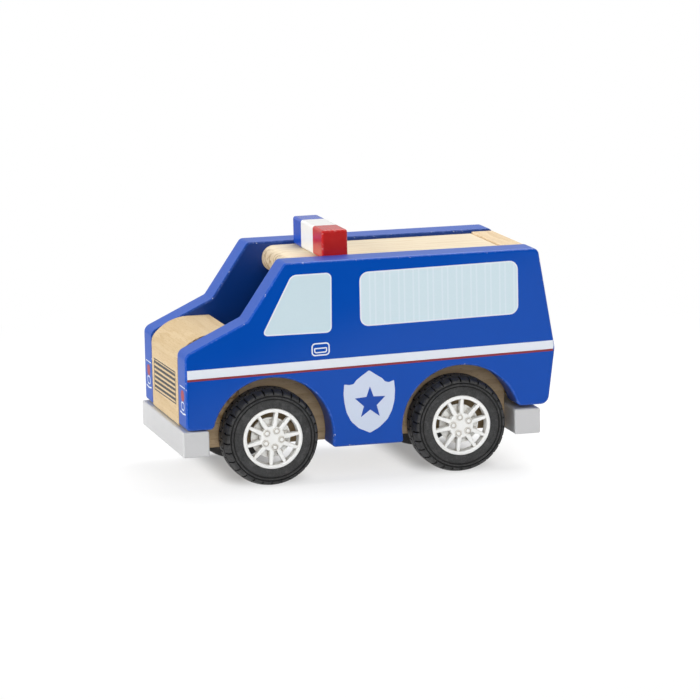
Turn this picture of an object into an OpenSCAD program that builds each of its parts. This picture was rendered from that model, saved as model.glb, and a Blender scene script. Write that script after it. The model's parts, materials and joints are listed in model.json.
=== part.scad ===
// Wooden toy police van: painted side panels on a natural wood core, with two free rolling wheel sets.
// Millimetres. +X is forward, +Y is the van's left, +Z is up, and the origin is on the floor
// under the middle of the van. A station is a distance behind the front bumper's face.

/* [Overall] */
// Length from the front bumper's face to the bulge of the tail
overall_length = 130; // [124:1:140]
// Width over the two side panels
overall_width = 64; // [60:1:72]
// Height from the floor to the top of the light bar
overall_height = 84; // [80:1:92]

/* [Side panels] */
// Thickness of each side panel
panel_thickness = 12; // [11:0.5:14]
// Distance of the panels' front edge behind the front bumper's face
front_setback = 1.3; // [0.8:0.1:3]
// Height of the lower edge ahead of the front wheel
front_skirt_height = 21.1; // [20:0.1:23]
// Height of the lower edge behind the rear wheel
rear_skirt_height = 21.9; // [21.5:0.1:24]
// Height of the foot between the wheels
foot_height = 12.2; // [9:0.1:15]
// Height at which the hood line leaves the front edge
hood_line_height = 46.6; // [43:0.1:50]
// Station of the foot of the windscreen
windscreen_foot_station = 23; // [18:0.1:26]
// Height of the foot of the windscreen
windscreen_foot_height = 56.8; // [54:0.1:60]
// Station of the front end of the roof line
roof_line_station = 36.1; // [33:0.1:40]
// Height of the bulge of the tail
bulge_height = 41.2; // [38:0.1:46]
// Distance of the tail's top ahead of the bulge
tail_top_inset = 5.6; // [3:0.1:8]
// Distance of the tail's bottom ahead of the bulge
tail_bottom_inset = 2.6; // [1:0.1:5]
// Radius of the front top corner
hood_corner_radius = 3; // [2:0.1:6]
// Radius of the hollow at the foot of the windscreen
windscreen_foot_radius = 2; // [1:0.1:8]
// Radius of the front corner of the roof line
roof_corner_radius = 2; // [1:0.1:6]
// Radius of the top corner of the tail
tail_top_radius = 1; // [0.5:0.1:8]
// Radius of the bottom corner of the tail
tail_bottom_radius = 3; // [1:0.1:5]
// Gap between a tyre and the wheel arch round it
arch_gap = 4.3; // [3:0.05:5]

/* [Hood block] */
// Depth of the hood block from front to back
hood_depth = 20.7; // [17:0.1:24]
// Height of the hood's level top
hood_top_height = 51.4; // [49:0.1:54]
// Height at which the hood's slope leaves its front
hood_slope_height = 45.3; // [42:0.1:48]
// Distance behind the hood's front at which its slope meets the level top
hood_slope_depth = 7.2; // [5:0.1:9]
// Radius between the hood's front and its slope
hood_front_radius = 5.5; // [2:0.1:7]
// Radius between the hood's slope and its top
hood_top_radius = 15; // [5:0.5:18]

/* [Roof and rear boards] */
// Thickness of the roof board
roof_thickness = 9; // [8:0.1:12]
// Depth of the roof board's top below the panels' top edges
roof_recess = 1.4; // [0.5:0.1:3]
// Distance of the roof board's nose behind the front of the roof line
roof_nose_setback = 4.9; // [2:0.1:8]
// Radius of the roof board's rounded nose
roof_nose_radius = 4.2; // [2:0.1:4.4]
// Thickness of the rear board, measured along the van
rear_board_thickness = 8; // [6.5:0.1:10]
// Depth of the rear board's top below the panels' top edges
rear_board_recess = 0.8; // [0.3:0.1:2]

/* [Light bar] */
// Station of the light bar's front
bar_station = 52.2; // [48:0.1:80]
// Depth of the light bar from front to back
bar_depth = 9; // [7.5:0.1:12]
// Height of the light bar
bar_height = 9.8; // [8:0.1:14]
// Gap between each end of the light bar and its side panel
bar_end_gap = 0.3; // [0.2:0.1:2]
// Radius of the light bar's long edges
bar_edge_radius = 0.7; // [0.3:0.1:1.5]

/* [Chassis] */
// Height of the chassis block's top
chassis_top_height = 40; // [36:0.5:44]
// Thickness of the base plate
base_plate_thickness = 2.8; // [2.4:0.1:4]
// Depth of the base plate's underside below the axles
axle_drop = 3.7; // [3.4:0.05:5]

/* [Bumpers] */
// Depth of each bumper from front to back
bumper_depth = 9; // [7.5:0.1:10.5]
// Height of each bumper
bumper_height = 8.7; // [7:0.1:10]
// Gap between the front bumper and the panels above it
bumper_gap = 0.3; // [0.2:0.1:1]
// Distance of the rear bumper's face ahead of the bulge of the tail
rear_bumper_inset = 5.6; // [4:0.1:8]
// Radius of the bumpers' long edges
bumper_edge_radius = 0.9; // [0.3:0.1:2]

/* [Wheels] */
// Outside diameter of the tyres
tyre_diameter = 33; // [31:0.1:35]
// Station of the front axle
front_axle_station = 30.9; // [29:0.1:33]
// Distance of the rear axle ahead of the bulge of the tail
rear_axle_inset = 33.4; // [31:0.1:36]
// Diameter of the axle rods
axle_diameter = 3; // [2.5:0.1:4]
// Depth of the tyres' outer walls inside the panels' faces
tyre_inset = 0.8; // [0.4:0.1:1.5]
// Gap between a wheel and the chassis wall
wheel_gap = 0.7; // [0.6:0.05:1]
// Diameter over the rim's lip
rim_diameter = 20.5; // [18:0.1:23]
// Width of the ring that the rim shows
rim_ring = 1.3; // [1:0.1:2]
// Height of the rim's lip above the tyre's seat
rim_lip = 0.6; // [0.4:0.1:0.9]
// Depth of the rim's lip along the axle
rim_lip_depth = 1.2; // [0.8:0.1:2]
// Distance that the rim's lip stands out of the tyre's wall
rim_proud = 0.25; // [0.1:0.05:0.35]
// Width of a spoke
spoke_width = 1.55; // [1:0.05:2]
// Depth of a spoke along the axle
spoke_depth = 2.2; // [1.5:0.1:3]
// Depth of the spokes' faces inside the rim's face
spoke_sink = 0.35; // [0.1:0.05:1]
// Angle between the two spokes of a pair
spoke_spread = 29.6; // [24:0.1:36]
// Diameter of the hub's centre
centre_diameter = 8.6; // [7.5:0.1:9.5]
// Distance that the hub's centre stands out of the spokes on each side
centre_proud = 0.1; // [0.05:0.05:0.3]
// Diameter of the disc behind the spokes
disc_diameter = 13.6; // [11:0.1:15]
// Thickness of the disc behind the spokes
disc_thickness = 1; // [0.6:0.1:1.5]
// Gap between the spokes and the disc behind them
disc_gap = 0.9; // [0.4:0.1:1.5]
// Diameter of the boss round the axle
boss_diameter = 6; // [5.2:0.1:7]
// Diameter of a lug bump
lug_diameter = 1.9; // [1.2:0.1:2.2]
// Height of a lug bump
lug_height = 0.3; // [0.1:0.05:0.35]
// Diameter of the circle that the lug bumps stand on
lug_circle = 5.8; // [5:0.1:6.2]
// Depth of the axle's hole in a hub
hub_hole_depth = 7; // [5:0.1:7.5]
// Diameter of the flat part of a tyre's outer wall
sidewall_diameter = 28.4; // [25:0.1:29.5]
// Width of a tyre's outer shoulder along the axle
shoulder_width = 4; // [2:0.1:5]
// Width and drop of a tyre's inner shoulder
inner_shoulder = 2.4; // [0.5:0.1:3]
// Radius of the edges of a tyre's shoulders
shoulder_radius = 1.8; // [0.5:0.1:2.5]
// Number of tread blocks round a tyre
tread_blocks = 32; // [24:1:40]
// Width of the slots between tread blocks
slot_width = 0.6; // [0.4:0.05:0.9]
// Depth of the slots between tread blocks
slot_depth = 0.6; // [0.3:0.05:0.9]

/* [Fasteners] */
// Diameter of the dowels in the panels and the light bar
dowel_diameter = 4; // [3:0.1:5]
// Length of those dowels
dowel_length = 14; // [10:0.5:16]
// Diameter of the bumpers' dowels
bumper_dowel_diameter = 3; // [2:0.1:3.6]
// Length of the bumpers' dowels
bumper_dowel_length = 12; // [8:0.5:14]
// Diameter of the base plate's screws
screw_diameter = 2.5; // [2:0.1:3]
// Length of the base plate's screws
screw_length = 7.5; // [6.5:0.1:8]
// Diameter of the screws' heads
screw_head_diameter = 4.8; // [4:0.1:5.5]
// Length of each arm's line across the cross in a screw's head
drive_span = 2.6; // [2:0.1:3]
// Width of the arms of that cross
drive_width = 0.7; // [0.5:0.05:0.9]
// Depth of that cross
drive_depth = 0.9; // [0.6:0.05:1.1]

/* [Hidden] */

// Fits
running_clearance = 0.06;
press_clearance = 0.02;
glue_gap = 0.05;
hole_end_gap = 0.4;
board_gap = 0.1;
spacer_play = 0.15;
screw_flush_depth = 0.1;
overrun = 1;

// Smoothness
$fn = 96;
arc_steps = 8;
tyre_arc_steps = 3;

// Paints and materials
blue_paint = "#1d4db3";
red_paint = "#b3221f";
white_paint = "#f2f2ee";
silver_paint = "#c9c9c9";
pale_wood = "#e6cda0";
roof_wood = "#f0e0c0";
chassis_wood = "#b49a74";
rubber = "#333333";
hub_plastic = "#f5f5f2";
bright_steel = "#b8bcc0";
nylon = "#e8e8e0";

// Widths across the van
core_width = overall_width - 2 * panel_thickness;
panel_middle = (core_width + panel_thickness) / 2;

// Heights up the van
roof_top = overall_height - bar_height;
panel_top = roof_top + roof_recess;
rear_board_top = panel_top - rear_board_recess;
axle_height = tyre_diameter / 2;
plate_bottom = axle_height - axle_drop;
plate_top = plate_bottom + base_plate_thickness;
bumper_top = front_skirt_height - bumper_gap;

// Stations along the van
rear_axle_station = overall_length - rear_axle_inset;
tail_top_station = overall_length - tail_top_inset;
tail_bottom_station = overall_length - tail_bottom_inset;
hood_back_station = front_setback + hood_depth;
roof_nose_station = roof_line_station + roof_nose_setback;
rear_bumper_station = overall_length - rear_bumper_inset - bumper_depth;
bar_middle_station = bar_station + bar_depth / 2;

// Wheels
tyre_width = panel_thickness - wheel_gap - tyre_inset;
arch_radius = axle_height + arch_gap;
axle_radius = axle_diameter / 2;
rim_radius = rim_diameter / 2;
seat_radius = rim_radius - rim_lip;
rim_inside_radius = rim_radius - rim_ring;
rim_face = tyre_width + rim_proud;
spoke_face = rim_face - spoke_sink;
spoke_back = spoke_face - spoke_depth;
disc_back = spoke_back - disc_gap - disc_thickness;
spacer_thickness = wheel_gap - 2 * spacer_play;
axle_length = core_width + 2 * (wheel_gap + hub_hole_depth - hole_end_gap);
spoke_pairs = 5;
front_left_turn = -7.5;
rear_left_turn = 30.5;
front_right_turn = 20;
rear_right_turn = 52;

// Shares that place the dowels, screws and paint on what carries them
hood_dowel_shares = [[0.3, 0.45], [0.6, 0.92]];
roof_dowel_shares = [0.1, 0.5, 0.9];
rear_board_dowel_height_shares = [0.22, 0.78];
chassis_dowel_height_shares = [0.62, 0.87];
bumper_dowel_share = 0.3;
screw_row_share = 0.3;
bar_dowel_depth_share = 0.65;
bar_red_share = 0.31;
bar_blue_share = 0.29;

// Outlines as [station, height, corner radius], rounded and turned to face forward

function ahead(station) = overall_length / 2 - station;
function flat(p) = [p[0], p[1]];
function unit(v) = v / norm(v);
function before(pts, i) = (i + len(pts) - 1) % len(pts);
function after(pts, i) = (i + 1) % len(pts);
function edge(pts, i) = norm(flat(pts[after(pts, i)]) - flat(pts[i]));

function half_angle(pts, i) =
    let (a = unit(flat(pts[before(pts, i)]) - flat(pts[i])))
    let (b = unit(flat(pts[after(pts, i)]) - flat(pts[i])))
    acos(a * b) / 2;

function wanted_reach(pts, i) = pts[i][2] / tan(half_angle(pts, i));

// What a corner's arc takes from each of its edges, cut back where two arcs would meet
function reach(pts, i) =
    let (wanted = wanted_reach(pts, i))
    let (back = wanted + wanted_reach(pts, before(pts, i)))
    let (on = wanted + wanted_reach(pts, after(pts, i)))
    wanted == 0 ? 0 : wanted * min(1, edge(pts, before(pts, i)) / back, edge(pts, i) / on);

function corner(pts, i, steps) =
    let (here = flat(pts[i]))
    let (a = unit(flat(pts[before(pts, i)]) - here))
    let (b = unit(flat(pts[after(pts, i)]) - here))
    let (taken = reach(pts, i), half = half_angle(pts, i))
    let (middle = here + unit(a + b) * taken / cos(half))
    let (first = here + a * taken - middle, last = here + b * taken - middle)
    let (start = atan2(first[1], first[0]))
    let (turn = atan2(cross(first, last), first * last))
    taken == 0
        ? [here]
        : [for (k = [0:steps]) middle + norm(first) * dir(start + turn * k / steps)];

function dir(angle) = [cos(angle), sin(angle)];
function rounded(pts, steps = arc_steps) = [for (i = [0:len(pts) - 1]) each corner(pts, i, steps)];
function facing_forward(pts) = [for (p = pts) [ahead(p[0]), p[1], p[2]]];

// Station of the tail's edge at a height
function tail_station(height) =
    height > bulge_height
        ? overall_length - tail_top_inset * (height - bulge_height) / (panel_top - bulge_height)
        : overall_length
            - tail_bottom_inset * (bulge_height - height) / (bulge_height - rear_skirt_height);

function between(low, high, share) = low + (high - low) * share;

panel_outline = facing_forward([
    [front_setback, front_skirt_height, 0],
    [front_setback, hood_line_height, hood_corner_radius],
    [windscreen_foot_station, windscreen_foot_height, windscreen_foot_radius],
    [roof_line_station, panel_top, roof_corner_radius],
    [tail_top_station, panel_top, tail_top_radius],
    [overall_length, bulge_height, 0],
    [tail_bottom_station, rear_skirt_height, tail_bottom_radius],
    [rear_axle_station, rear_skirt_height, 0],
    [rear_axle_station, foot_height, 0],
    [front_axle_station, foot_height, 0],
    [front_axle_station, front_skirt_height, 0],
]);

hood_outline = facing_forward([
    [front_setback, front_skirt_height, 0],
    [front_setback, hood_slope_height, hood_front_radius],
    [front_setback + hood_slope_depth, hood_top_height, hood_top_radius],
    [hood_back_station, hood_top_height, 0],
    [hood_back_station, front_skirt_height, 0],
]);

function rear_board_front(height) = tail_station(height) - rear_board_thickness;

roof_outline = facing_forward([
    [roof_nose_station, roof_top - roof_thickness, roof_nose_radius],
    [roof_nose_station, roof_top, roof_nose_radius],
    [rear_board_front(roof_top) - board_gap, roof_top, 0],
    [rear_board_front(roof_top - roof_thickness) - board_gap, roof_top - roof_thickness, 0],
]);

rear_board_outline = facing_forward([
    [rear_board_front(rear_board_top), rear_board_top, 0],
    [tail_station(rear_board_top), rear_board_top, 0],
    [overall_length, bulge_height, 0],
    [tail_station(rear_skirt_height), rear_skirt_height, 0],
    [rear_board_front(rear_skirt_height), rear_skirt_height, 0],
    [rear_board_front(bulge_height), bulge_height, 0],
]);

chassis_outline = facing_forward([
    [bumper_depth, plate_top, 0],
    [bumper_depth, front_skirt_height, 0],
    [hood_back_station + board_gap, front_skirt_height, 0],
    [hood_back_station + board_gap, chassis_top_height, 0],
    [rear_bumper_station, chassis_top_height, 0],
    [rear_bumper_station, plate_top, 0],
]);

// Places of the fasteners

hood_dowel_places = [for (share = hood_dowel_shares) [
    ahead(between(front_setback, hood_back_station, share[0])),
    between(front_skirt_height, hood_slope_height, share[1]),
]];

roof_dowel_places = [for (share = roof_dowel_shares) [
    ahead(between(roof_nose_station, rear_board_front(roof_top), share)),
    roof_top - roof_thickness / 2,
]];

rear_board_dowel_places = [for (share = rear_board_dowel_height_shares)
    let (height = between(rear_skirt_height, rear_board_top, share))
    [ahead(tail_station(height) - rear_board_thickness / 2), height]
];

chassis_dowel_places = [for (share = chassis_dowel_height_shares) [
    ahead((front_axle_station + rear_axle_station) / 2),
    between(foot_height, chassis_top_height, share),
]];

screw_stations = [
    (hood_back_station + front_axle_station) / 2,
    (front_axle_station + rear_axle_station) / 2,
    (rear_axle_station + rear_bumper_station) / 2,
];
screw_places = [for (station = screw_stations, side = [-1, 1])
    [ahead(station), side * core_width * screw_row_share]
];

bumper_dowel_height = (max(plate_top, bumper_top - bumper_height) + bumper_top) / 2;
bar_length = core_width - 2 * bar_end_gap;
bar_red_length = bar_length * bar_red_share;
bar_blue_length = bar_length * bar_blue_share;
bar_paint_ends = [
    -bar_length / 2,
    bar_blue_length - bar_length / 2,
    bar_length / 2 - bar_red_length,
    bar_length / 2,
];
bar_dowel_rows = [(bar_blue_length - bar_length) / 2, (bar_length - bar_red_length) / 2];
bar_dowel_bottom = roof_top - roof_thickness * bar_dowel_depth_share;
bar_dowel_length = (bar_height + roof_thickness) * bar_dowel_depth_share;

// Shared shapes

// A board of an outline in the XZ plane, centred on the XZ plane
module board(outline, width) {
    rotate([90, 0, 0])
        linear_extrude(height = width, center = true)
            polygon(rounded(outline));
}

// A straight round rod along Y between two places
module rod_y(radius, length) {
    rotate([90, 0, 0])
        cylinder(h = length, r = radius, center = true);
}

// Dowels across both joints between the core and the panels, or their holes
module panel_dowels(places, hole = false) {
    for (side = [-1, 1], place = places)
        translate([place[0], side * core_width / 2, place[1]])
            rod_y(
                dowel_diameter / 2 + (hole ? glue_gap : 0),
                dowel_length + (hole ? 2 * hole_end_gap : 0)
            );
}

// Dowels between a bumper and the chassis end at a station, or their holes
module bumper_dowels(station, hole = false) {
    for (side = [-1, 1])
        translate([ahead(station), side * core_width * bumper_dowel_share, bumper_dowel_height])
            rotate([0, 90, 0])
                cylinder(
                    h = bumper_dowel_length + (hole ? 2 * hole_end_gap : 0),
                    r = bumper_dowel_diameter / 2 + (hole ? glue_gap : 0),
                    center = true
                );
}

// Dowels between the light bar and the roof board, or their holes
module bar_dowels(hole = false) {
    for (row = bar_dowel_rows)
        translate([ahead(bar_middle_station), row, bar_dowel_bottom - (hole ? hole_end_gap : 0)])
            cylinder(
                h = bar_dowel_length + (hole ? 2 * hole_end_gap : 0),
                r = dowel_diameter / 2 + (hole ? glue_gap : 0)
            );
}

// Countersunk screws driven up through the base plate, or their holes
module plate_screws(hole = false) {
    spare = hole ? glue_gap : 0;
    head_radius = screw_head_diameter / 2;
    cone_height = (screw_head_diameter - screw_diameter) / 2;
    for (place = screw_places)
        translate([place[0], place[1], plate_bottom + screw_flush_depth]) {
            cylinder(h = cone_height, r1 = head_radius + spare, r2 = screw_diameter / 2 + spare);
            cylinder(h = screw_length + (hole ? hole_end_gap : 0), r = screw_diameter / 2 + spare);
            if (hole)
                translate([0, 0, -overrun])
                    cylinder(h = overrun, r = head_radius + spare);
        }
}

// The crosses in the screws' heads
module drive_recesses() {
    for (place = screw_places, size = [[drive_span, drive_width], [drive_width, drive_span]])
        translate([place[0] - size[0] / 2, place[1] - size[1] / 2, plate_bottom - overrun])
            cube([size[0], size[1], overrun + screw_flush_depth + drive_depth]);
}

// The running holes of both axles through the core
module axle_holes() {
    for (station = [front_axle_station, rear_axle_station])
        translate([ahead(station), 0, axle_height])
            rod_y(axle_radius + running_clearance, core_width + 2 * overrun);
}

// Puts a wheel piece on an axle: its own Z points out of the van, with 0 on the wheel's inner side
module on_axle(station, side) {
    translate([ahead(station), side * (core_width / 2 + wheel_gap), axle_height])
        rotate([90, 0, side > 0 ? 180 : 0])
            children();
}

// Body pieces

module side_panel(side) {
    color(blue_paint)
        difference() {
            translate([0, side * panel_middle, 0])
                board(panel_outline, panel_thickness);
            for (station = [front_axle_station, rear_axle_station])
                translate([ahead(station), side * panel_middle, axle_height])
                    rod_y(arch_radius, panel_thickness + 2 * overrun);
            panel_dowels(hood_dowel_places, hole = true);
            panel_dowels(roof_dowel_places, hole = true);
            panel_dowels(rear_board_dowel_places, hole = true);
            panel_dowels(chassis_dowel_places, hole = true);
        }
}

module left_side_panel() {
    side_panel(1);
}

module right_side_panel() {
    side_panel(-1);
}

module hood_block() {
    color(pale_wood)
        difference() {
            board(hood_outline, core_width);
            panel_dowels(hood_dowel_places, hole = true);
        }
}

module roof_board() {
    color(roof_wood)
        difference() {
            board(roof_outline, core_width);
            panel_dowels(roof_dowel_places, hole = true);
            bar_dowels(hole = true);
        }
}

module rear_board() {
    color(pale_wood)
        difference() {
            board(rear_board_outline, core_width);
            panel_dowels(rear_board_dowel_places, hole = true);
        }
}

module chassis_block() {
    color(chassis_wood)
        difference() {
            board(chassis_outline, core_width);
            axle_holes();
            panel_dowels(chassis_dowel_places, hole = true);
            bumper_dowels(bumper_depth, hole = true);
            bumper_dowels(rear_bumper_station, hole = true);
            plate_screws(hole = true);
        }
}

module base_plate() {
    plate_length = rear_bumper_station - bumper_depth;
    color(chassis_wood)
        difference() {
            translate([ahead(rear_bumper_station), -core_width / 2, plate_bottom])
                cube([plate_length, core_width, base_plate_thickness]);
            axle_holes();
            plate_screws(hole = true);
        }
}

module bumper(station) {
    bottom = bumper_top - bumper_height;
    eased = facing_forward([
        [station, bottom, bumper_edge_radius],
        [station, bumper_top, bumper_edge_radius],
        [station + bumper_depth, bumper_top, bumper_edge_radius],
        [station + bumper_depth, bottom, bumper_edge_radius],
    ]);
    board(eased, overall_width);
}

module front_bumper() {
    color(silver_paint)
        difference() {
            bumper(0);
            bumper_dowels(bumper_depth, hole = true);
        }
}

module rear_bumper() {
    color(silver_paint)
        difference() {
            bumper(rear_bumper_station);
            bumper_dowels(rear_bumper_station, hole = true);
        }
}

module light_bar() {
    eased = facing_forward([
        [bar_station, roof_top, 0],
        [bar_station, overall_height, bar_edge_radius],
        [bar_station + bar_depth, overall_height, bar_edge_radius],
        [bar_station + bar_depth, roof_top, 0],
    ]);
    paints = [blue_paint, white_paint, red_paint];
    for (i = [0:len(paints) - 1])
        color(paints[i])
            difference() {
                translate([0, (bar_paint_ends[i] + bar_paint_ends[i + 1]) / 2, 0])
                    board(eased, bar_paint_ends[i + 1] - bar_paint_ends[i]);
                bar_dowels(hole = true);
            }
}

// Wheel sets

module axle(station) {
    color(bright_steel)
        translate([ahead(station), 0, axle_height])
            rod_y(axle_radius, axle_length);
}

module front_axle() {
    axle(front_axle_station);
}

module rear_axle() {
    axle(rear_axle_station);
}

// The rim's barrel with its lip at the outer end
module rim() {
    rotate_extrude()
        polygon([
            [rim_inside_radius, 0],
            [seat_radius, 0],
            [seat_radius, rim_face - rim_lip_depth],
            [rim_radius, rim_face - rim_lip_depth],
            [rim_radius, rim_face],
            [rim_inside_radius, rim_face],
        ]);
}

module spokes() {
    start = (centre_diameter - spoke_width) / 2;
    length = (rim_inside_radius + seat_radius) / 2 - start;
    for (pair = [0:spoke_pairs - 1], lean = [-1, 1])
        rotate([0, 0, 360 * pair / spoke_pairs + lean * spoke_spread / 2])
            translate([start, -spoke_width / 2, spoke_back])
                cube([length, spoke_width, spoke_depth]);
}

// The flat middle of the hub with its lug bumps, the disc behind the spokes and the boss round the axle
module hub_middle() {
    translate([0, 0, spoke_back - centre_proud])
        cylinder(h = spoke_depth + 2 * centre_proud, r = centre_diameter / 2);
    for (pair = [0:spoke_pairs - 1])
        rotate([0, 0, 360 * pair / spoke_pairs])
            translate([lug_circle / 2, 0, spoke_face + centre_proud - lug_height])
                cylinder(h = 2 * lug_height, r = lug_diameter / 2);
    translate([0, 0, disc_back])
        cylinder(h = disc_thickness, r = disc_diameter / 2);
    cylinder(h = spoke_back + spoke_depth / 2, r = boss_diameter / 2);
}

module hub(station, side, turn) {
    color(hub_plastic)
        on_axle(station, side)
            rotate([0, 0, turn])
                difference() {
                    union() {
                        rim();
                        spokes();
                        hub_middle();
                    }
                    translate([0, 0, -overrun])
                        cylinder(h = hub_hole_depth + overrun, r = axle_radius + press_clearance);
                }
}

module front_left_hub() {
    hub(front_axle_station, 1, front_left_turn);
}

module front_right_hub() {
    hub(front_axle_station, -1, front_right_turn);
}

module rear_left_hub() {
    hub(rear_axle_station, 1, rear_left_turn);
}

module rear_right_hub() {
    hub(rear_axle_station, -1, rear_right_turn);
}

// A slot across a tyre's outer shoulder, drawn in the plane of the tyre's section
module tread_slot() {
    wall = [sidewall_diameter / 2, tyre_width];
    tread = [axle_height, tyre_width - shoulder_width];
    along = unit(tread - wall);
    inward = [along[1], -along[0]];
    rotate([90, 0, 0])
        linear_extrude(height = slot_width, center = true)
            polygon([
                wall + inward * slot_depth,
                tread + inward * slot_depth + along * slot_depth,
                tread - inward * overrun + along * overrun,
                wall - inward * overrun,
            ]);
}

module tyre(station, side) {
    bore = seat_radius + press_clearance;
    lip_bore = rim_radius + press_clearance;
    lip_depth = rim_lip_depth - rim_proud + press_clearance;
    section = [
        [bore, 0, 0],
        [axle_height - inner_shoulder, 0, shoulder_radius / 2],
        [axle_height, inner_shoulder, shoulder_radius / 2],
        [axle_height, tyre_width - shoulder_width, shoulder_radius],
        [sidewall_diameter / 2, tyre_width, shoulder_radius / 2],
        [lip_bore, tyre_width, 0],
        [lip_bore, tyre_width - lip_depth, 0],
        [bore, tyre_width - lip_depth, 0],
    ];
    color(rubber)
        on_axle(station, side)
            difference() {
                rotate_extrude()
                    polygon(rounded(section, tyre_arc_steps));
                for (i = [0:tread_blocks - 1])
                    rotate([0, 0, 360 * (i + 1 / 2) / tread_blocks])
                        tread_slot();
            }
}

module front_left_tyre() {
    tyre(front_axle_station, 1);
}

module front_right_tyre() {
    tyre(front_axle_station, -1);
}

module rear_left_tyre() {
    tyre(rear_axle_station, 1);
}

module rear_right_tyre() {
    tyre(rear_axle_station, -1);
}

// A thin washer on the axle between the hub's boss and the chassis wall
module spacer(station, side) {
    color(nylon)
        on_axle(station, side)
            translate([0, 0, -wheel_gap + spacer_play])
                difference() {
                    cylinder(h = spacer_thickness, r = boss_diameter / 2);
                    translate([0, 0, -overrun])
                        cylinder(h = spacer_thickness + 2 * overrun, r = axle_radius + press_clearance);
                }
}

module front_left_spacer() {
    spacer(front_axle_station, 1);
}

module front_right_spacer() {
    spacer(front_axle_station, -1);
}

module rear_left_spacer() {
    spacer(rear_axle_station, 1);
}

module rear_right_spacer() {
    spacer(rear_axle_station, -1);
}

// Fasteners

module hood_dowels() {
    color(pale_wood)
        panel_dowels(hood_dowel_places);
}

module roof_dowels() {
    color(pale_wood)
        panel_dowels(roof_dowel_places);
}

module rear_board_dowels() {
    color(pale_wood)
        panel_dowels(rear_board_dowel_places);
}

module chassis_dowels() {
    color(pale_wood)
        panel_dowels(chassis_dowel_places);
}

module front_bumper_dowels() {
    color(pale_wood)
        bumper_dowels(bumper_depth);
}

module rear_bumper_dowels() {
    color(pale_wood)
        bumper_dowels(rear_bumper_station);
}

module light_bar_dowels() {
    color(pale_wood)
        bar_dowels();
}

module base_plate_screws() {
    color(bright_steel)
        difference() {
            plate_screws();
            drive_recesses();
        }
}

left_side_panel();
right_side_panel();
hood_block();
roof_board();
rear_board();
chassis_block();
base_plate();
front_bumper();
rear_bumper();
light_bar();
front_axle();
rear_axle();
front_left_hub();
front_right_hub();
rear_left_hub();
rear_right_hub();
front_left_tyre();
front_right_tyre();
rear_left_tyre();
rear_right_tyre();
front_left_spacer();
front_right_spacer();
rear_left_spacer();
rear_right_spacer();
hood_dowels();
roof_dowels();
rear_board_dowels();
chassis_dowels();
front_bumper_dowels();
rear_bumper_dowels();
light_bar_dowels();
base_plate_screws();
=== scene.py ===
import json
import math

import bmesh
import bpy
from mathutils import Matrix, Vector

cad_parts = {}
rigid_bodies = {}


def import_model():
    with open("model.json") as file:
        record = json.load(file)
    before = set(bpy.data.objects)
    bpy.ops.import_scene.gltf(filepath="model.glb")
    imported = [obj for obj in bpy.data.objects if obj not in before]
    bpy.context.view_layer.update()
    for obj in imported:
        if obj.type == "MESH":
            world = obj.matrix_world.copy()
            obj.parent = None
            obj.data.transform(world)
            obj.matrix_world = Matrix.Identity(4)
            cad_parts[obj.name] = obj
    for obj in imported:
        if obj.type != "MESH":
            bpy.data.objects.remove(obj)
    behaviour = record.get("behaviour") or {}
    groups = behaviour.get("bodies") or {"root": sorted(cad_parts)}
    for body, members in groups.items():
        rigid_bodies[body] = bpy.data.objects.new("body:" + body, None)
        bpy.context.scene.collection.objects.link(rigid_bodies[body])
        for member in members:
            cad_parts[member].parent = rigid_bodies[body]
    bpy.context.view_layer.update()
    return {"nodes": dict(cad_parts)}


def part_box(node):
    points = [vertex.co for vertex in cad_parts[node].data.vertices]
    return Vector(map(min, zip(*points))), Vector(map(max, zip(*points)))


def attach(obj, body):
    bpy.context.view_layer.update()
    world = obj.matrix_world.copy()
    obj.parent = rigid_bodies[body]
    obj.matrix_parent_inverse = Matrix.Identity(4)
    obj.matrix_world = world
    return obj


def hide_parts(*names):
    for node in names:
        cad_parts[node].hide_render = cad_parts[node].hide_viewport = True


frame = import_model()

# Lengths on the van are in millimetres and turn into metres by MM. The axles' middles, the wheels' seat
# and the studio are in metres. A station is a distance behind the front bumper's face, as in the CAD source.
MM = 0.001
MERGE = 0.001  # vertices closer than this become one
NEAR = 0.01  # points closer than this count as one place
BODY = "van_body"
PANEL_LOW, PANEL_HIGH = (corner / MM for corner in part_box("left_side_panel"))
PANEL_BACK, PANEL_FACE = PANEL_LOW.y, PANEL_HIGH.y
FRONT_EDGE = PANEL_HIGH.x
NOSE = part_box("front_bumper")[1].x / MM
AXLES = {end: sum(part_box(f"{end}_axle"), Vector()) / 2 for end in ("front", "rear")}
WHEEL_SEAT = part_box("front_left_tyre")[0].y


# The workbench


def lay_down():
    """Leaves edit mode, with nothing selected."""
    if bpy.context.mode != "OBJECT":
        bpy.ops.object.mode_set(mode="OBJECT")
    bpy.ops.object.select_all(action="DESELECT")


def take_up(piece, mode="EDIT"):
    """Makes a piece the one that operators act on."""
    lay_down()
    piece.select_set(True)
    bpy.context.view_layer.objects.active = piece
    bpy.ops.object.mode_set(mode=mode)


def settle(piece):
    """Takes a piece's place and turn over into its mesh."""
    take_up(piece, "OBJECT")
    bpy.ops.object.transform_apply(location=True, rotation=True, scale=True)


def pick(kind, test):
    """Selects the vertices, edges or faces of the piece in hand that pass a test."""
    bpy.ops.mesh.select_mode(type=kind)
    bpy.ops.mesh.select_all(action="DESELECT")
    work = bmesh.from_edit_mesh(bpy.context.object.data)
    for part in {"VERT": work.verts, "EDGE": work.edges, "FACE": work.faces}[kind]:
        if test(part):
            part.select_set(True)
    work.select_flush_mode()
    bmesh.update_edit_mesh(bpy.context.object.data)


def close_up():
    """Merges the doubles of the piece in hand and turns its faces outwards."""
    bpy.ops.mesh.select_all(action="SELECT")
    bpy.ops.mesh.remove_doubles(threshold=MERGE * MM)
    bpy.ops.mesh.normals_make_consistent(inside=False)


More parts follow.
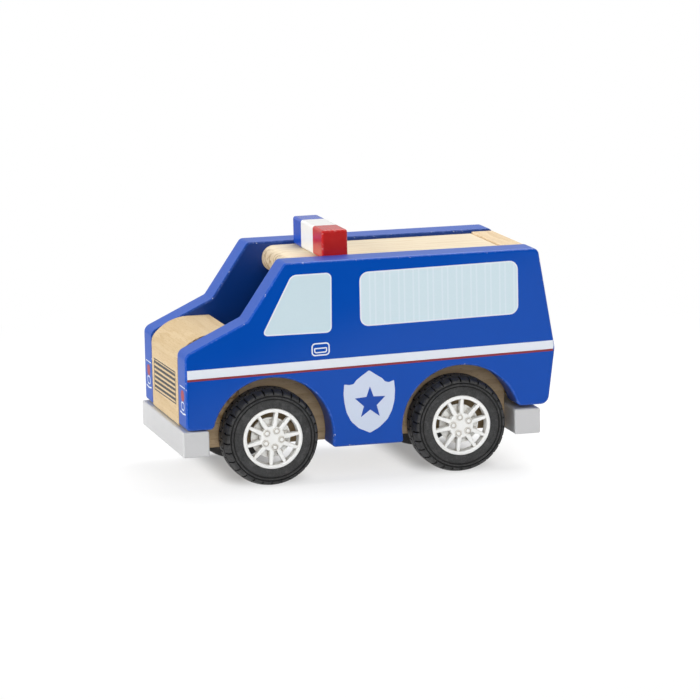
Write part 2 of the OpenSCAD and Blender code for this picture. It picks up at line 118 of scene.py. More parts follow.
def apply(piece, kind, **settings):
    """Adds a modifier to a piece and applies it."""
    take_up(piece, "OBJECT")
    made = piece.modifiers.new(kind.lower(), kind)
    for key, value in settings.items():
        setattr(made, key, value)
    bpy.ops.object.modifier_apply(modifier=made.name)


def polish(piece, angle=40):
    """Smooths the shading over eased edges, and keeps the large flats flat."""
    take_up(piece, "OBJECT")
    bpy.ops.object.shade_smooth_by_angle(angle=math.radians(angle))
    apply(piece, "WEIGHTED_NORMAL", mode="FACE_AREA", weight=100, keep_sharp=True)


def start(name, kind, **settings):
    """A new piece from a primitive round the origin, in edit mode and selected all over."""
    lay_down()
    getattr(bpy.ops.mesh, f"primitive_{kind}_add")(**settings)
    piece = bpy.context.object
    piece.name = piece.data.name = name
    bpy.ops.object.mode_set(mode="EDIT")
    bpy.ops.mesh.select_all(action="SELECT")
    return piece


def draw(name, points):
    """Draws a line of vertices through points, and closes it to a loop."""
    spots = [Vector(point) * MM for point in points]
    piece = start(name, "plane", size=MM)
    bpy.ops.mesh.select_mode(type="VERT")
    bpy.ops.mesh.merge(type="CENTER")
    bpy.ops.mesh.select_all(action="SELECT")
    bpy.ops.transform.translate(value=spots[0])
    for here, there in zip(spots, spots[1:]):
        bpy.ops.mesh.extrude_vertices_move(TRANSFORM_OT_translate={"value": there - here})
    ends = (spots[0], spots[-1])
    pick("VERT", lambda vert: min((vert.co - end).length for end in ends) < NEAR * MM)
    bpy.ops.mesh.edge_face_add()
    return piece


def turn(name, section, steps):
    """Turns a closed section of (radius, along) points on a lathe whose axle is the Y axis."""
    piece = draw(name, [(radius, along, 0) for radius, along in section])
    bpy.ops.mesh.select_all(action="SELECT")
    bpy.ops.mesh.spin(steps=steps, angle=math.tau, center=(0, 0, 0), axis=(0, 1, 0))
    close_up()
    return piece


def fit(piece, finish, body=BODY, nodes=()):
    """Gives a piece its finish and its body, and hides the CAD nodes that it stands for."""
    lay_down()
    piece.data.materials.clear()
    piece.data.materials.append(finish)
    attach(piece, body)
    if nodes:
        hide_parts(*nodes)


def twin(piece, name):
    """A copy of a piece with a mesh of its own."""
    copy = bpy.data.objects.new(name, piece.data.copy())
    bpy.context.scene.collection.objects.link(copy)
    return copy


# Finishes


class Wire:
    """A socket in a finish. Sums on it add Math nodes, and node() adds any other node."""

    def __init__(self, tree, socket=None):
        self.tree, self.socket = tree, socket

    def node(self, kind, settings=None, inputs=None, out=0):
        """Adds a node with its settings and inputs, and gives back one of its outputs if it has any."""
        made = self.tree.nodes.new("ShaderNode" + kind)
        for key, value in (settings or {}).items():
            setattr(made, key, value)
        for key, value in (inputs or {}).items():
            if isinstance(value, Wire):
                self.tree.links.new(value.socket, made.inputs[key])
            else:
                made.inputs[key].default_value = value
        return Wire(self.tree, made.outputs[out]) if made.outputs else None

    def sum(self, operation, *terms):
        """Adds a Math node over some terms."""
        return self.node("Math", {"operation": operation}, dict(enumerate(terms)))

    def __add__(self, other):
        return self.sum("ADD", self, other)

    def __sub__(self, other):
        return self.sum("SUBTRACT", self, other)

    def __rsub__(self, other):
        return self.sum("SUBTRACT", other, self)

    def __mul__(self, other):
        return self.sum("MULTIPLY", self, other)

    def __truediv__(self, other):
        return self.sum("DIVIDE", self, other)

    def __pow__(self, other):
        return self.sum("POWER", self, other)

    def __abs__(self):
        return self.sum("ABSOLUTE", self)

    __radd__, __rmul__ = __add__, __mul__

    def split(self):
        """The three parts of a vector."""
        parts = self.node("SeparateXYZ", None, {0: self})
        return [Wire(self.tree, socket) for socket in parts.socket.node.outputs]

    def facing(self, axis):
        """How squarely the surface faces along an axis, either way: 0 to 1."""
        return abs(self.node("TexCoord", out="Normal").split()[axis])

    def ease(self, low, high):
        """0 below low and 1 above high, with a smooth step between."""
        return self.node(
            "MapRange", {"interpolation_type": "SMOOTHSTEP"}, {0: self, 1: low, 2: high, 3: 0, 4: 1}
        )

    def noise(self, place, stretch, detail=2, rough=0.5):
        """Noise over a place that is first stretched by one number, or by one for each axis."""
        if isinstance(stretch, (int, float)):
            stretch = [stretch] * 3
        spread = self.node("VectorMath", {"operation": "MULTIPLY"}, {0: place, 1: stretch})
        return self.node(
            "TexNoise", None, {"Vector": spread, "Scale": 1, "Detail": detail, "Roughness": rough}
        )

    def tint(self, share, under, over):
        """One colour going over to another by a share."""
        colours = {6: under, 7: over}
        colours = {key: c if isinstance(c, Wire) else (*c, 1) for key, c in colours.items()}
        return self.node("Mix", {"data_type": "RGBA"}, {0: share, **colours}, out=2)

    def crevice(self, reach):
        """1 deep in a corner and 0 in the open, as far round as a reach; the finishes darken by it as
        painted shade.
        """
        return 1 - self.node("AmbientOcclusion", {"samples": 8}, {"Distance": reach * MM}, out="AO")

    def bump(self, height, distance, strength):
        """A Bump node over a height."""
        return self.node(
            "Bump", None, {"Height": height, "Distance": distance * MM, "Strength": strength}
        )


def new_finish(name):
    """An empty finish, a wire in it, and the place on the piece in millimetres."""
    finish = bpy.data.materials.new(name)
    finish.use_nodes = True
    finish.node_tree.nodes.clear()
    wire = Wire(finish.node_tree)
    place = wire.node(
        "VectorMath",
        {"operation": "SCALE"},
        {0: wire.node("TexCoord", out="Object"), "Scale": 1 / MM},
    )
    return finish, wire, place


def coat(wire, inputs):
    """Ends a finish in its surface."""
    surface = wire.node("BsdfPrincipled", None, inputs)
    wire.node("OutputMaterial", None, {"Surface": surface})


def edge_share(wire):
    """1 on the eased edges round the faces across the van, 0 on the flats."""
    facing = wire.facing(1)
    return facing.ease(0.12, 0.35) * (1 - facing.ease(0.9, 0.985))


def blue_gloss():
    """The panels' paint: glossy faces, duller sawn edges, and chips along the eased ones, with painted
    light: a painted highlight and sheen on the sawn edges, rubbed paint with a painted highlight on the
    eased edges, and painted shade on the inner faces.
    """
    finish, wire, place = new_finish("blue_gloss_paint")
    cloud = wire.noise(place, 0.06, 2)
    chips = wire.noise(place, 0.5, 4, 0.65).ease(0.63, 0.69)
    rubbed_and_highlight = wire.noise(place, 0.9, 3).ease(0.45, 0.75)
    edge = edge_share(wire)
    sawn = 1 - wire.facing(1).ease(0.8, 0.98)
    paint = wire.tint(cloud, (0.0005, 0.066, 0.410), (0.001, 0.073, 0.440))
    # painted shade: the paint on the inner faces, towards the other panel, is darker; these faces are also
    # rougher
    inner_painted_shade = 1 - abs(place.split()[1]).ease(PANEL_BACK + 0.3, PANEL_BACK + 0.9)
    sawn_sheen_flecks = wire.noise(place, 1.1, 3, 0.65).ease(0.5, 0.8)
    # painted highlight and sheen: the sawn edges are painted a lighter blue, with pale lavender flecks as
    # painted reflection
    paint = wire.tint(sawn * 0.4, paint, (0.003, 0.090, 0.52))
    paint = wire.tint(sawn * sawn_sheen_flecks * 0.14, paint, (0.30, 0.38, 0.75))
    paint = wire.tint(inner_painted_shade * 0.55, paint, (0.0003, 0.004, 0.03))
    # rubbed paint and painted highlight: the eased edges are a lighter blue
    paint = wire.tint(edge * rubbed_and_highlight * 0.28, paint, (0.16, 0.24, 0.62))
    peel = wire.noise(place, 0.22, 2) + wire.noise(place, 1.6, 1) * 0.1
    coat(wire, {
        "Base Color": wire.tint(edge * chips * 0.8, paint, (0.62, 0.64, 0.70)),
        "Roughness": 0.05 + sawn * 0.33 + inner_painted_shade * 0.3 + cloud * 0.04 + edge * chips * 0.3,
        "Normal": wire.bump(peel, 0.012, 0.25),
    })
    return finish


BROWN_FLECK = (0.42, 0.25, 0.11)


def wood(name, pale, deep, along, heart, ring, flecks, fleck_tone=BROWN_FLECK, bands=0.55):
    """Bare wood: growth rings round a heart line, fibres along the grain and short dark flecks."""
    finish, wire, place = new_finish(name)
    parts = place.split()
    across = [axis for axis in range(3) if axis != along]
    grain, fine, dash = (
        [lengthwise if axis == along else crosswise for axis in range(3)]
        for lengthwise, crosswise in ((0.02, 0.11), (0.07, 2.6), (0.5, 3.4))
    )
    off = [parts[axis] - middle for axis, middle in zip(across, heart)]
    end = wire.facing(along).ease(0.3, 0.95)
    wavy = wire.noise(place, 0.25, 3, 0.6)
    radius = (off[0] * off[0] + off[1] * off[1]) ** 0.5 + wire.noise(place, grain, 4, 0.65) * 9
    radius = radius + end * wavy * 7
    growth = wire.sum("FRACT", radius / ring)
    late = growth.ease(0.15, 0.85) * (1 - growth.ease(0.9, 1))
    strong = wire.noise(place, [share * 2.2 for share in grain], 1)
    fibre = wire.noise(place, fine, 3, 0.6)
    fleck = wire.noise(place, dash, 1, 0.4).ease(*flecks)
    tone = late * strong * bands + (fibre - 0.5) * 0.75 + 0.2
    colour = wire.tint(tone.ease(0, 1), pale, deep)
    rings = 0.35 + late * wavy.ease(0.3, 0.6) * 0.6
    colour = wire.tint(end * rings, colour, [share * share * 0.6 for share in deep])
    colour = wire.tint(fleck * 0.3, colour, fleck_tone)
    coat(wire, {
        "Base Color": colour,
        "Roughness": 0.58 + fibre * 0.2,
        "Normal": wire.bump(fibre * 0.7 - fleck * 0.6 - late * 0.2, 0.05, 0.5),
        "Specular IOR Level": 0.35,
    })
    return finish


def silver_satin():
    """The bumpers' fine grey metal paint, lighter along the eased edges: rubbed paint and a painted
    highlight.
    """
    finish, wire, place = new_finish("silver_satin_paint")
    flake = wire.noise(place, 7, 1)
    cloud = wire.noise(place, 0.12, 3)
    rubbed_and_highlight = edge_share(wire) * wire.noise(place, 0.6, 3).ease(0.55, 0.7)
    colour = wire.tint(flake * 0.5 + cloud * 0.5, (0.58, 0.58, 0.585), (0.73, 0.73, 0.735))
    coat(wire, {
        "Base Color": wire.tint(rubbed_and_highlight * 0.35, colour, (0.80, 0.80, 0.80)),
        "Metallic": 0.1,
        "Roughness": 0.34 + flake * 0.1 + cloud * 0.06,
        "Normal": wire.bump(flake + cloud, 0.012, 0.4),
    })
    return finish


def lamp_gloss(blue_end, red_end):
    """The light bar's three paints, which meet at two places across the van."""
    finish, wire, place = new_finish("lamp_gloss_paint")
    soft = 0.06
    across = place.split()[1] + (wire.noise(place, 0.9, 2) - 0.5) * 0.16
    cloud = wire.noise(place, 0.5, 3)
    blue = wire.tint(cloud, (0.004, 0.060, 0.46), (0.008, 0.080, 0.56))
    red = wire.tint(cloud, (0.50, 0.010, 0.010), (0.60, 0.022, 0.018))
    white = wire.tint(cloud, (0.90, 0.895, 0.88), (0.94, 0.935, 0.925))
    colour = wire.tint(across.ease(blue_end - soft, blue_end + soft), blue, white)
    colour = wire.tint(across.ease(red_end - soft, red_end + soft), colour, red)
    # rubbed paint and painted highlight: the eased edges are lighter and pinker
    rubbed_and_highlight = edge_share(wire) * wire.noise(place, 1.3, 3).ease(0.52, 0.7)
    peel = wire.noise(place, 0.5, 2) + wire.noise(place, 3, 1) * 0.2
    coat(wire, {
        "Base Color": wire.tint(rubbed_and_highlight * 0.25, colour, (0.80, 0.62, 0.60)),
        "Roughness": 0.18 + cloud * 0.08,
        "Normal": wire.bump(peel, 0.03, 0.5),
        "Specular IOR Level": 0.42,
    })
    return finish


def print_ink(name, ink, shade):
    """Ink printed flat on the paint or the wood, a little uneven."""
    finish, wire, place = new_finish(name)
    mottle = wire.noise(place, 1.6, 3)
    cloud = wire.noise(place, 0.15, 2)
    coat(wire, {
        "Base Color": wire.tint(mottle * 0.6 + cloud * 0.4, shade, ink),
        "Roughness": 0.34 + mottle * 0.16,
        "Normal": wire.bump(mottle, 0.006, 0.3),
    })
    return finish


PANE_PERIOD = 5.05  # from one pair of lines to the next
PANE_SHIFT = 40.22  # in periods, and large enough to keep the places above zero


def pane_ink():
    """The long window's pale print, with pairs of lighter lines up it."""
    finish, wire, place = new_finish("long_pane_ink")
    along = place.split()[0]
    mottle = wire.noise(place, 1.6, 3)
    period = wire.sum("FRACT", along / PANE_PERIOD + PANE_SHIFT) * PANE_PERIOD
    lines = [1 - abs(period - middle).ease(0.18, 0.36) for middle in (1, 4.1)]
    colour = wire.tint(mottle, (0.61, 0.745, 0.805), (0.65, 0.780, 0.835))
    coat(wire, {
        "Base Color": wire.tint((lines[0] + lines[1]) * 0.55, colour, (0.74, 0.83, 0.90)),
        "Roughness": 0.34 + mottle * 0.16,
        "Normal": wire.bump(mottle, 0.006, 0.3),
    })
    return finish


def hub_white():
    """The hubs' white plastic, with painted shade deep in its corners."""
    finish, wire, place = new_finish("white_moulded_plastic")
    cloud = wire.noise(place, 0.3, 3)
    grit = wire.noise(place, 5, 2)
    plastic = wire.tint(cloud, (0.955, 0.955, 0.93), (0.985, 0.985, 0.96))
    # painted shade: the plastic goes darker and browner deep in its corners
    shade = wire.crevice(1.6).ease(0.1, 0.55)
    coat(wire, {
        "Base Color": wire.tint(shade * 0.62, plastic, (0.44, 0.39, 0.32)),
        "Roughness": 0.3 + grit * 0.16,
        "Normal": wire.bump(grit, 0.012, 0.25),
    })
    return finish


def tyre_rubber():
    """The tyres' rubber: gritty and scuffed, with painted shade in its slots and near the arch."""
    finish, wire, place = new_finish("moulded_rubber")
    grit = wire.noise(place, 2.4, 4, 0.7)
    scuff = wire.noise(place, 0.5, 5, 0.7).ease(0.45, 0.7)
    speck = wire.noise(place, 3.2, 2, 0.6).ease(0.64, 0.74)
    rubber = wire.tint(grit.ease(0.3, 0.7), (0.029, 0.029, 0.030), (0.066, 0.066, 0.066))
    rubber = wire.tint(scuff * 0.35 + speck * 0.3, rubber, (0.150, 0.149, 0.147))
    # painted shade: darker in the slots, and over a longer reach where the arch and the chassis are near
    shade = wire.crevice(1.2).ease(0.2, 0.8) * 0.7 + wire.crevice(6).ease(0.35, 0.9) * 0.5
    coat(wire, {
        "Base Color": wire.tint(wire.sum("MINIMUM", shade, 1), rubber, (0.004, 0.004, 0.004)),
        "Roughness": 0.36 + scuff * 0.12 + grit * 0.16,
        "Normal": wire.bump(grit + scuff * 0.4, 0.09, 0.6),
    })
    return finish


def bright_steel():
    """The drawn steel of the axles and screws."""
    finish, wire, place = new_finish("bright_steel")
    drawn = wire.noise(place, (6, 0.2, 6), 3)
    coat(wire, {
        "Base Color": wire.tint(drawn, (0.46, 0.47, 0.48), (0.62, 0.63, 0.64)),
        "Metallic": 1.0,
        "Roughness": 0.26 + drawn * 0.16,
        "Normal": wire.bump(drawn, 0.006, 0.4),
    })
    return finish


def nylon_white():
    """The milky nylon of the spacers."""
    finish, wire, place = new_finish("milky_nylon")
    cloud = wire.noise(place, 0.8, 2)
    coat(wire, {
        "Base Color": wire.tint(cloud, (0.74, 0.73, 0.67), (0.82, 0.81, 0.76)),
        "Roughness": 0.4 + cloud * 0.12,
    })
    return finish


BLUE = blue_gloss()
SILVER = silver_satin()
LAMPS = lamp_gloss(blue_end=-8.3, red_end=7.5)
HOOD_WOOD = wood(
    "hood_wood", (0.705, 0.545, 0.335), (0.575, 0.41, 0.217),
    along=1, heart=(30, 5), ring=3.2, flecks=(0.60, 0.70),
)
ROOF_WOOD = wood(
    "roof_wood", (0.89, 0.775, 0.58), (0.72, 0.56, 0.36),
    along=0, heart=(-28, 50), ring=3.1, flecks=(0.66, 0.76), fleck_tone=(0.48, 0.31, 0.15), bands=0.5,
)
REAR_WOOD = wood(
    "rear_board_wood", (0.86, 0.68, 0.45), (0.68, 0.49, 0.28),
    along=1, heart=(-110, 52), ring=3.0, flecks=(0.59, 0.72),
)
CHASSIS_WOOD = wood(
    "chassis_wood", (0.50, 0.37, 0.225), (0.36, 0.25, 0.14),
    along=0, heart=(0, -20), ring=3.4, flecks=(0.60, 0.70), fleck_tone=(0.14, 0.085, 0.045),
)
DOWEL_WOOD = wood(
    "dowel_wood", (0.74, 0.56, 0.34), (0.56, 0.38, 0.20),
    along=1, heart=(0, 0), ring=2.5, flecks=(0.64, 0.75),
)
HUB_WHITE = hub_white()
RUBBER = tyre_rubber()
STEEL = bright_steel()
NYLON = nylon_white()
WHITE_INK = print_ink("white_ink", (0.80, 0.84, 0.90), (0.74, 0.79, 0.86))
PANE_INK = print_ink("pale_pane_ink", (0.615, 0.750, 0.805), (0.575, 0.715, 0.775))
LONG_PANE_INK = pane_ink()
RED_INK = print_ink("dark_red_ink", (0.30, 0.035, 0.045), (0.25, 0.025, 0.035))
LAMP_INK = print_ink("lamp_red_ink", (0.46, 0.05, 0.06), (0.36, 0.035, 0.05))
SHIELD_INK = print_ink("shield_ink", (0.66, 0.73, 0.87), (0.61, 0.68, 0.83))
STAR_INK = print_ink("star_blue_ink", (0.006, 0.072, 0.44), (0.004, 0.060, 0.39))
GRILLE_INK = print_ink("grille_grey_ink", (0.045, 0.045, 0.048), (0.030, 0.030, 0.032))


# Boards

EASE_STEPS = 5  # facets round an eased edge or corner
SHARP = (30, 180)  # how far an outline turns at a sharp corner, in degrees
NOTCH_REACH = 2  # an axle's notch lies within this of the axle's middle
CAD_CORNER = 1.3  # the CAD's own rounding lies within this of a corner
BORE_GAP = 0.06  # a hole is wider than its dowel by this on every side


def section_of(name, node, cut):
    """A CAD node's outline where a plane across the van cuts it, as one flat face."""
    piece = twin(frame["nodes"][node], name)
    take_up(piece)
    bpy.ops.mesh.select_all(action="SELECT")
    bpy.ops.mesh.remove_doubles(threshold=MERGE * MM)
    bpy.ops.mesh.bisect(
        plane_co=(0, cut * MM, 0), plane_no=(0, 1, 0), use_fill=True, clear_inner=True, clear_outer=True
    )
    bpy.ops.mesh.select_all(action="SELECT")
    bpy.ops.mesh.dissolve_limited(angle_limit=math.radians(0.5))
    return piece


def corner_angle(vert):
    """How far an outline turns at a vertex, in degrees."""
    ways = [edge.other_vert(vert).co - vert.co for edge in vert.link_edges]
    return 180 - math.degrees(ways[0].angle(ways[1]))


def in_notch(vert):
    """Whether an outline's vertex lies on the round notch that an axle runs in."""
    return any((vert.co - middle).xz.length < NOTCH_REACH * MM for middle in AXLES.values())


def round_off(corner, cut, size):
    """Rounds a corner of the outline in hand more than the CAD does."""
    point = Vector((corner[0], cut, corner[1])) * MM
    pick("VERT", lambda vert: (vert.co - point).length < CAD_CORNER * MM)
    bpy.ops.transform.resize(value=(0, 1, 0), center_override=point)
    bpy.ops.mesh.remove_doubles(threshold=MERGE * MM)
    pick("VERT", lambda vert: (vert.co - point).length < NEAR * MM)
    bpy.ops.mesh.bevel(offset=size * MM, segments=9, affect="VERTICES")


def saw(name, node, cut, faces, eased, corners=(), rounder=()):
    """A board with a node's outline, sawn between two faces across the van, with eased edges.

    Corners are (from, to, size), by how far the outline turns there in degrees. The order matters: a
    rounded corner leaves small turns, which a later pass over small turns would round again.
    """
    piece = section_of(name, node, cut)
    pick("VERT", in_notch)
    bpy.ops.mesh.dissolve_verts()
    for corner, size in rounder:
        round_off(corner, cut, size)
    for low, high, size in corners:
        pick("VERT", lambda vert: low < corner_angle(vert) <= high)
        bpy.ops.mesh.bevel(offset=size * MM, segments=EASE_STEPS, affect="VERTICES")
    bpy.ops.mesh.select_all(action="SELECT")
    bpy.ops.transform.translate(value=(0, (faces[0] - cut) * MM, 0))
    bpy.ops.mesh.extrude_region_move(
        TRANSFORM_OT_translate={"value": (0, (faces[1] - faces[0]) * MM, 0)}
    )
    close_up()
    for face, size in zip(faces, eased):
        outward = math.copysign(1, face - sum(faces) / 2)
        pick("FACE", lambda part: abs(part.calc_center_median().y - face * MM) < NEAR * MM)
        bpy.ops.transform.translate(value=(0, -outward * size * MM, 0))
        turns = [math.radians(90 * step / EASE_STEPS) for step in range(EASE_STEPS + 1)]
        for low, high in zip(turns, turns[1:]):
            bpy.ops.mesh.inset(
                thickness=size * (math.cos(low) - math.cos(high)) * MM,
                depth=size * (math.sin(high) - math.sin(low)) * MM,
            )
    return piece


def block(name, node, eased):
    """A square block in a node's box, with every edge eased."""
    low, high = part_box(node)
    piece = start(name, "cube", size=1)
    bpy.ops.transform.resize(value=high - low)
    bpy.ops.transform.translate(value=(low + high) / 2)
    bpy.ops.mesh.bevel(offset=eased * MM, segments=4, affect="EDGES")
    return piece


def bore(piece, *fasteners):
    """Bores the holes that dowels, screws or axles sit in, each a little wider than what it takes."""
    for node in fasteners:
        drill = twin(frame["nodes"][node], "drill")
        take_up(drill)
        close_up()
        bpy.ops.transform.shrink_fatten(value=BORE_GAP * MM)
        apply(piece, "BOOLEAN", operation="DIFFERENCE", solver="EXACT", object=drill)
        bpy.data.objects.remove(drill)
    take_up(piece)
    close_up()
    polish(piece)


PANEL_CUT = 30  # across the van, where a panel shows its plain outline
PANEL_EASE = 0.95
PANEL_CORNERS = [(14, 20, 0.8), (*SHARP, 1.3)]
PANEL_REAR_TOP, REAR_TOP_ROUND = (-59.4, 75.6), 1.9
for side, name in ((1, "left"), (-1, "right")):
    panel = saw(
        f"{name}_panel",
        f"{name}_side_panel",
        side * PANEL_CUT,
        (side * PANEL_FACE, side * PANEL_BACK),
        (PANEL_EASE, PANEL_EASE),
        PANEL_CORNERS,
        [(PANEL_REAR_TOP, REAR_TOP_ROUND)],
    )
    bore(panel, "hood_dowels", "roof_dowels", "rear_board_dowels", "chassis_dowels")
    fit(panel, BLUE, BODY, [f"{name}_side_panel"])

CORNER_SHARE = 1.6  # a bare board's corners are rounder than its edges by this
for name, node, finish, slot, eased, fasteners in (
    ("hood", "hood_block", HOOD_WOOD, "natural_wood", 0.25, ["hood_dowels"]),
    ("roof", "roof_board", ROOF_WOOD, "natural_wood", 0.2, ["roof_dowels", "light_bar_dowels"]),
    ("tail_board", "rear_board", REAR_WOOD, "natural_wood", 0.35, ["rear_board_dowels"]),
    (
        "chassis",
        "chassis_block",
        CHASSIS_WOOD,
        "chassis_wood",
        0.25,
        [
            "chassis_dowels", "front_bumper_dowels", "rear_bumper_dowels", "base_plate_screws",
            "front_axle", "rear_axle",
        ],
    ),
):
    board = saw(name, node, 0, (PANEL_BACK, -PANEL_BACK), (eased, eased), [(*SHARP, eased * CORNER_SHARE)])
    bore(board, *fasteners)
    fit(board, finish, BODY, [node])

for name, node, finish, slot, eased, fasteners in (
    ("nose_bumper", "front_bumper", SILVER, "silver_wood", 0.65, "front_bumper_dowels"),
    ("tail_bumper", "rear_bumper", SILVER, "silver_wood", 0.65, "rear_bumper_dowels"),
    ("lamp_bar", "light_bar", LAMPS, "lamp_wood", 0.9, "light_bar_dowels"),
):
    piece = block(name, node, eased)
    bore(piece, fasteners)
    fit(piece, finish, BODY, [node])


# Wheels

LUG_PLACE, LUG_MIDDLE = 2.9, 10.45
SPOKE_SIZE = Vector((5.4, 2.2, 1.12)) * MM
SPOKE_MIDDLE = Vector((6.6, 9.3, 0)) * MM
SPOKE_TAPER = 1.36
SPOKE_EASE = 0.32
SPOKE_LEAN = math.radians(15.6)
VENT_STEPS, VENT_DEPTH = 60, 0.3
TREAD_STEPS, TREAD_DEPTH = 210, 0.65
FIFTHS = {"steps": 4, "angle": math.tau * 4 / 5, "center": (0, 0, 0), "axis": (0, 1, 0), "dupli": True}


def column_of(face, steps):
    """Which of a turned piece's steps a face lies in."""
    middle = face.calc_center_median()
    return math.floor(math.atan2(middle.z, middle.x) / math.tau * steps)


def rim_ring():
    """The rim: a rounded lip in front, and behind it a wide barrel that the tyre sits on."""
    return turn(
        "rim_ring",
        [
            (11.6, 0.15), (11.75, 0), (12, 0), (12.15, 0.15), (12.15, 9.4), (12.05, 9.5), (10.3, 9.52),
            (10.24, 9.65), (10.25, 10.3), (10.2, 10.5), (10.05, 10.66), (9.85, 10.74), (9.6, 10.75),
            (9.35, 10.74), (9.15, 10.66), (9.02, 10.52), (8.95, 10.3), (8.8, 7.4), (8.9, 7.2), (11.6, 7.2),
        ],
        120,
    )


def spoke_star():
    """Five pairs of spokes, each spoke tapered outwards and eased along its face."""
    piece = start("spoke_star", "cube", size=1)
    bpy.ops.transform.resize(value=SPOKE_SIZE)
    bpy.ops.transform.translate(value=SPOKE_MIDDLE)
    pick("FACE", lambda face: face.normal.x < -0.9)
    bpy.ops.transform.resize(value=(1, 1, SPOKE_TAPER), center_override=(0, SPOKE_MIDDLE.y, 0))

    def along_the_face(edge):
        one, other = (vert.co for vert in edge.verts)
        return min(one.y, other.y) > SPOKE_MIDDLE.y and abs(one.x - other.x) > MM

    pick("EDGE", along_the_face)
    bpy.ops.mesh.bevel(offset=SPOKE_EASE * MM, segments=4, affect="EDGES")
    bpy.ops.mesh.select_all(action="SELECT")
    bpy.ops.transform.rotate(value=SPOKE_LEAN, orient_axis="Y", center_override=(0, 0, 0))
    bpy.ops.mesh.duplicate()
    bpy.ops.transform.rotate(value=-2 * SPOKE_LEAN, orient_axis="Y", center_override=(0, 0, 0))
    bpy.ops.mesh.select_all(action="SELECT")
    bpy.ops.mesh.spin(**FIFTHS)
    close_up()
    return piece


def lug_ring():
    """Five round lugs, each with a domed head in a groove."""
    piece = start(
        "lug_ring",
        "cylinder",
        vertices=24,
        radius=1.08 * MM,
        depth=1 * MM,
        rotation=(math.pi / 2, 0, 0),
        location=(LUG_PLACE * MM, LUG_MIDDLE * MM, 0),
    )
    settle(piece)
    take_up(piece)
    pick("FACE", lambda face: face.normal.y > 0.9)
    for inset, rise in (
        (0.06, 0.05), (0.1, -0.3), (0.2, -0.04), (0.06, 0.28), (0.14, 0.16), (0.2, 0.06),
    ):
        bpy.ops.mesh.inset(thickness=inset * MM)
        bpy.ops.transform.translate(value=(0, rise * MM, 0))
    bpy.ops.mesh.select_all(action="SELECT")
    bpy.ops.mesh.spin(**FIFTHS)
    close_up()
    return piece


def hub_core():
    """The hub's middle, with its boss round the axle's hole."""
    return turn(
        "hub_core",
        [
            (1.52, 0), (2.85, 0), (3, 0.15), (3, 8.1), (4.15, 8.1), (4.3, 8.25), (4.3, 10.1), (4.2, 10.35),
            (4, 10.5), (1.5, 10.5), (1.2, 10.44), (0.8, 10.44), (0, 10.46), (0, 7), (1.52, 7),
        ],
        96,
    )


def vent_disc():
    """The disc behind the spokes, with a raised rim and shallow vents round it."""
    piece = turn(
        "vent_disc",
        [
            (2.8, 6.3), (6.65, 6.3), (6.8, 6.45), (6.8, 7.35), (6.65, 7.45), (6.4, 7.45), (6.25, 7.3),
            (6.1, 7.3), (4.9, 7.3), (2.8, 7.3),
        ],
        VENT_STEPS,
    )

    def in_vent(face):
        out = face.calc_center_median().xz.length / MM
        return face.normal.y > 0.9 and 4.95 < out < 6.05 and column_of(face, VENT_STEPS) % 6 in (1, 2, 3)

    pick("FACE", in_vent)
    bpy.ops.mesh.inset(thickness=0.1 * MM)
    bpy.ops.transform.translate(value=(0, -VENT_DEPTH * MM, 0))
    bpy.ops.mesh.normals_make_consistent(inside=False)
    return piece


def hub():
    """A whole hub at the origin, its parts grown into one."""
    whole = rim_ring()
    for part in (spoke_star(), hub_core(), vent_disc(), lug_ring()):
        apply(whole, "BOOLEAN", operation="UNION", solver="EXACT", object=part)
        bpy.data.objects.remove(part)
    take_up(whole)
    close_up()
    polish(whole, 35)
    return whole


def tyre():
    """A tyre at the origin: ringed wall, slotted shoulder and two rows of tread blocks."""
    piece = turn(
        "tyre",
        [
            (12.17, 0.3), (12.4, 0), (15.3, 0), (15.9, 0.12), (16.25, 0.4), (16.42, 0.85), (16.5, 1.5),
            (16.5, 3.9), (16.05, 4.0), (16.05, 4.4), (16.5, 4.5), (16.48, 6.3), (16.0, 6.42), (15.95, 6.8),
            (16.36, 6.95), (16.3, 7.2), (16.15, 7.8), (15.9, 8.8), (15.65, 9.6), (15.45, 9.95),
            (15.15, 10.12), (14.75, 10.16), (14.62, 10.12), (14.52, 9.78), (14.3, 9.76), (14.2, 10.2),
            (14.08, 10.42), (13.9, 10.46), (13.7, 10.42), (13.55, 10.2), (13.47, 9.85), (13.25, 9.85),
            (13.15, 10.12), (13.0, 10.2), (12.2, 10.3), (11.3, 10.42), (10.7, 10.48), (10.42, 10.44),
            (10.28, 10.3), (10.32, 9.54), (12.17, 9.52),
        ],
        TREAD_STEPS,
    )
    # Slots: from and to across the tyre, outside which radius, and in which of every seven columns.
    rows = ((0.9, 3.9, 16.4, 0), (4.5, 6.3, 16.4, 3), (7.2, 10.16, 14.7, 0))

    def in_slot(face):
        middle, column = face.calc_center_median() / MM, column_of(face, TREAD_STEPS) % 7
        return any(
            low < middle.y < high and middle.xz.length > inside and column == at
            for low, high, inside, at in rows
        )

    pick("FACE", in_slot)
    bpy.ops.mesh.extrude_region_shrink_fatten(TRANSFORM_OT_shrink_fatten={"value": -TREAD_DEPTH * MM})
    polish(piece, 38)
    return piece


hub_pattern, tyre_pattern = hub(), tyre()
for end, side, turned in (
    ("front", "left", -7.5),
    ("rear", "left", 30.5),
    ("front", "right", 20),
    ("rear", "right", 52),
):
    out = 1 if side == "left" else -1
    for pattern, part, finish, slot in (
        (hub_pattern, "hub", HUB_WHITE, "hub_plastic"),
        (tyre_pattern, "tyre", RUBBER, "tyre"),
    ):
        piece = twin(pattern, f"{end}_{side}_wheel_{part}")
        piece.location = (AXLES[end].x, out * WHEEL_SEAT, AXLES[end].z)
        piece.rotation_euler = (0, math.pi + math.radians(turned), 0 if out > 0 else math.pi)
        settle(piece)
        fit(piece, finish, f"{end}_wheels", [f"{end}_{side}_{part}"])
for pattern in (hub_pattern, tyre_pattern):
    bpy.data.objects.remove(pattern)


# Prints

